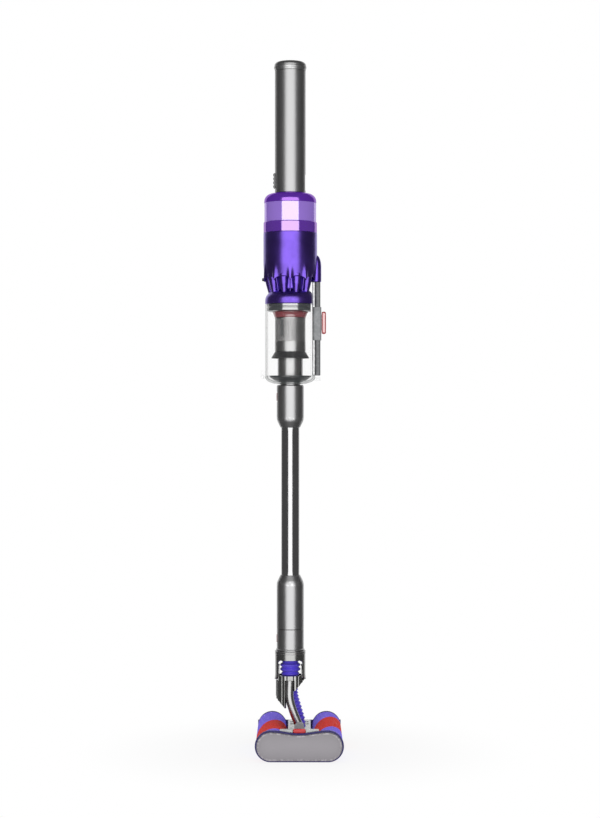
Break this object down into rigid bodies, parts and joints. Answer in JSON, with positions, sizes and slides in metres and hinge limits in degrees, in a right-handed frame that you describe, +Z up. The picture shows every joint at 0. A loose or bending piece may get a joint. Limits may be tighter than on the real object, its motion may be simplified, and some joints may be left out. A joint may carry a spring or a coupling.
{
  "type": "cordless stick vacuum",
  "caption": "Upright in-line cordless vacuum: twin-roller head on castors, bent neck with hose, slim wand, clear cyclone bin, purple motor body and battery handle.",
  "frame": {"origin": "on the floor under the middle of the head", "axes": "+Z up the wand; +X the way the neck leans down; Y along the rollers, with the release end of the head at -Y"},
  "size_m": [0.135, 0.208, 1.0788],
  "materials": {
    "satin_grey": "satin metallic grey moulding with fine grain",
    "silver": "satin anodised tube with soft vertical highlight",
    "frame_grey": "matte moulded plastic",
    "clear_grey": "pale smoky translucent plastic",
    "navy": "deep navy soft-touch trim",
    "cap_grey": "satin grey painted cap",
    "steel": "bright steel",
    "roller_core": "moulded core",
    "fleece": "soft purple fleece pile with a red spiral band",
    "rubber": "black rubber",
    "dark": "dark grey moulding",
    "black_rubber": "soft black seal rubber",
    "red": "glossy red plastic",
    "purple_rubber": "ribbed purple elastomer",
    "metallic_purple": "metallic purple paint",
    "dark_purple": "deep purple translucent gloss",
    "clear_purple": "lilac translucent gloss",
    "clear": "clear polycarbonate",
    "mesh": "fine perforated steel mesh",
    "copper": "varnished windings",
    "paper": "pleated filter medium",
    "battery_wrap": "shrink wrap"
  },
  "bodies": {
    "head": {"head_chassis": "frame_grey", "head_cover": "clear_grey", "end_frame_front": "navy", "end_frame_rear": "navy", "end_cap_front": "cap_grey", "end_cap_rear": "cap_grey", "roller_motor_a": "steel", "roller_motor_b": "steel", "roller_bearing_a": "steel", "roller_bearing_b": "steel", "lower_pivot_pin_front": "steel", "lower_pivot_pin_back": "steel"},
    "end_release": {"end_cap_release": "red"},
    "roller_a": {"roller_core_a": "roller_core", "roller_sleeve_a": "fleece"},
    "roller_b": {"roller_core_b": "roller_core", "roller_sleeve_b": "fleece"},
    "neck": {"neck_arm": "silver", "neck_knuckle": "satin_grey", "upper_pivot_pin_left": "steel", "upper_pivot_pin_right": "steel", "neck_hose": "purple_rubber", "neck_bellows": "purple_rubber"},
    "collar": {"neck_collar": "satin_grey", "head_socket": "satin_grey"},
    "head_button": {"head_release_button": "red"},
    "wand": {"wand_lower_fitting": "satin_grey", "wand_tube": "silver", "wand_upper_fitting": "satin_grey"},
    "wand_button": {"wand_release_button": "red"},
    "lid": {"bin_lid": "clear", "lid_seal": "black_rubber", "lid_hinge_pin": "steel"},
    "bin": {"bin_shell": "clear"},
    "body": {"shroud_cage": "mesh", "shroud_skirt": "black_rubber", "shroud_cone": "red", "cyclone_pack": "metallic_purple", "bin_seal_ring": "dark", "motor_housing": "metallic_purple", "motor_stator": "copper", "filter_cartridge": "paper", "filter_housing": "clear_purple", "top_cap": "dark_purple", "spine_rail": "satin_grey"},
    "rotor": {"motor_rotor": "steel"},
    "trigger": {"bin_release_slider": "red"},
    "handle": {"handle_shell": "satin_grey", "handle_end_cap": "satin_grey", "battery_pack": "battery_wrap"},
    "mode": {"mode_slider": "dark"},
    "battery_button": {"battery_release": "dark"},
    "castor_1": {"castor_fork_1": "dark"},
    "wheel_1": {"castor_wheel_1": "rubber"},
    "castor_2": {"castor_fork_2": "dark"},
    "wheel_2": {"castor_wheel_2": "rubber"},
    "castor_3": {"castor_fork_3": "dark"},
    "wheel_3": {"castor_wheel_3": "rubber"},
    "castor_4": {"castor_fork_4": "dark"},
    "wheel_4": {"castor_wheel_4": "rubber"}
  },
  "joints": [
    {"name": "end_release_press", "type": "slide", "parent": "head", "child": "end_release", "axis": [0, 0, -1], "range_m": [0, 0.002], "stiffness_N_per_m": 300, "springref_m": -0.002},
    {"name": "roller_a_spin", "type": "hinge", "parent": "head", "child": "roller_a", "pos_m": [-0.0435, 0, 0.024], "axis": [0, 1, 0], "continuous": true},
    {"name": "roller_b_spin", "type": "hinge", "parent": "head", "child": "roller_b", "pos_m": [0.0435, 0, 0.024], "axis": [0, 1, 0], "continuous": true},
    {"name": "castor_1_swivel", "type": "hinge", "parent": "head", "child": "castor_1", "pos_m": [-0.01, -0.078, 0.0087], "axis": [0, 0, 1], "continuous": true},
    {"name": "wheel_1_spin", "type": "hinge", "parent": "castor_1", "child": "wheel_1", "pos_m": [-0.008, -0.078, 0.0045], "axis": [0, 1, 0], "continuous": true},
    {"name": "castor_2_swivel", "type": "hinge", "parent": "head", "child": "castor_2", "pos_m": [0.01, -0.078, 0.0087], "axis": [0, 0, 1], "continuous": true},
    {"name": "wheel_2_spin", "type": "hinge", "parent": "castor_2", "child": "wheel_2", "pos_m": [0.012, -0.078, 0.0045], "axis": [0, 1, 0], "continuous": true},
    {"name": "castor_3_swivel", "type": "hinge", "parent": "head", "child": "castor_3", "pos_m": [-0.01, 0.078, 0.0087], "axis": [0, 0, 1], "continuous": true},
    {"name": "wheel_3_spin", "type": "hinge", "parent": "castor_3", "child": "wheel_3", "pos_m": [-0.008, 0.078, 0.0045], "axis": [0, 1, 0], "continuous": true},
    {"name": "castor_4_swivel", "type": "hinge", "parent": "head", "child": "castor_4", "pos_m": [0.01, 0.078, 0.0087], "axis": [0, 0, 1], "continuous": true},
    {"name": "wheel_4_spin", "type": "hinge", "parent": "castor_4", "child": "wheel_4", "pos_m": [0.012, 0.078, 0.0045], "axis": [0, 1, 0], "continuous": true},
    {"name": "neck_lean", "type": "hinge", "parent": "head", "child": "neck", "pos_m": [0, 0, 0.0415], "axis": [0, 1, 0], "range_deg": [0, 85], "deforming": ["neck_hose"]},
    {"name": "neck_roll", "type": "hinge", "parent": "neck", "child": "collar", "pos_m": [-0.0142, 0, 0.13], "axis": [1, 0, 0], "range_deg": [-40, 40], "deforming": ["neck_bellows"]},
    {"name": "head_button_press", "type": "slide", "parent": "collar", "child": "head_button", "axis": [1, 0, 0], "range_m": [0, 0.0012], "stiffness_N_per_m": 300, "springref_m": -0.002},
    {"name": "wand_pull", "type": "slide", "parent": "collar", "child": "wand", "axis": [0, 0, 1], "range_m": [0, 0.04]},
    {"name": "wand_button_press", "type": "slide", "parent": "wand", "child": "wand_button", "axis": [1, 0, 0], "range_m": [0, 0.0012], "stiffness_N_per_m": 300, "springref_m": -0.002},
    {"name": "bin_pull", "type": "slide", "parent": "wand", "child": "lid", "axis": [0, 0, 1], "range_m": [0, 0.03]},
    {"name": "lid_swing", "type": "hinge", "parent": "lid", "child": "bin", "pos_m": [-0.0574, 0, 0.584], "axis": [0, -1, 0], "range_deg": [0, 90]},
    {"name": "bin_run", "type": "slide", "parent": "bin", "child": "body", "axis": [0, 0, 1], "range_m": [0, 0.055]},
    {"name": "rotor_spin", "type": "hinge", "parent": "body", "child": "rotor", "pos_m": [-0.0142, 0, 0.747], "axis": [0, 0, 1], "continuous": true},
    {"name": "trigger_slide", "type": "slide", "parent": "body", "child": "trigger", "axis": [0, 0, -1], "range_m": [0, 0.012], "stiffness_N_per_m": 250, "springref_m": -0.004},
    {"name": "handle_pull", "type": "slide", "parent": "body", "child": "handle", "axis": [0, 0, 1], "range_m": [0, 0.03]},
    {"name": "mode_slide", "type": "slide", "parent": "handle", "child": "mode", "axis": [0, 0, 1], "range_m": [0, 0.005]},
    {"name": "battery_button_press", "type": "slide", "parent": "handle", "child": "battery_button", "axis": [-1, 0, 0], "range_m": [0, 0.0008], "stiffness_N_per_m": 300, "springref_m": -0.002}
  ],
  "couplings": [
    {"joint": "roller_b_spin", "follows": "roller_a_spin", "ratio": -1}
  ]
}
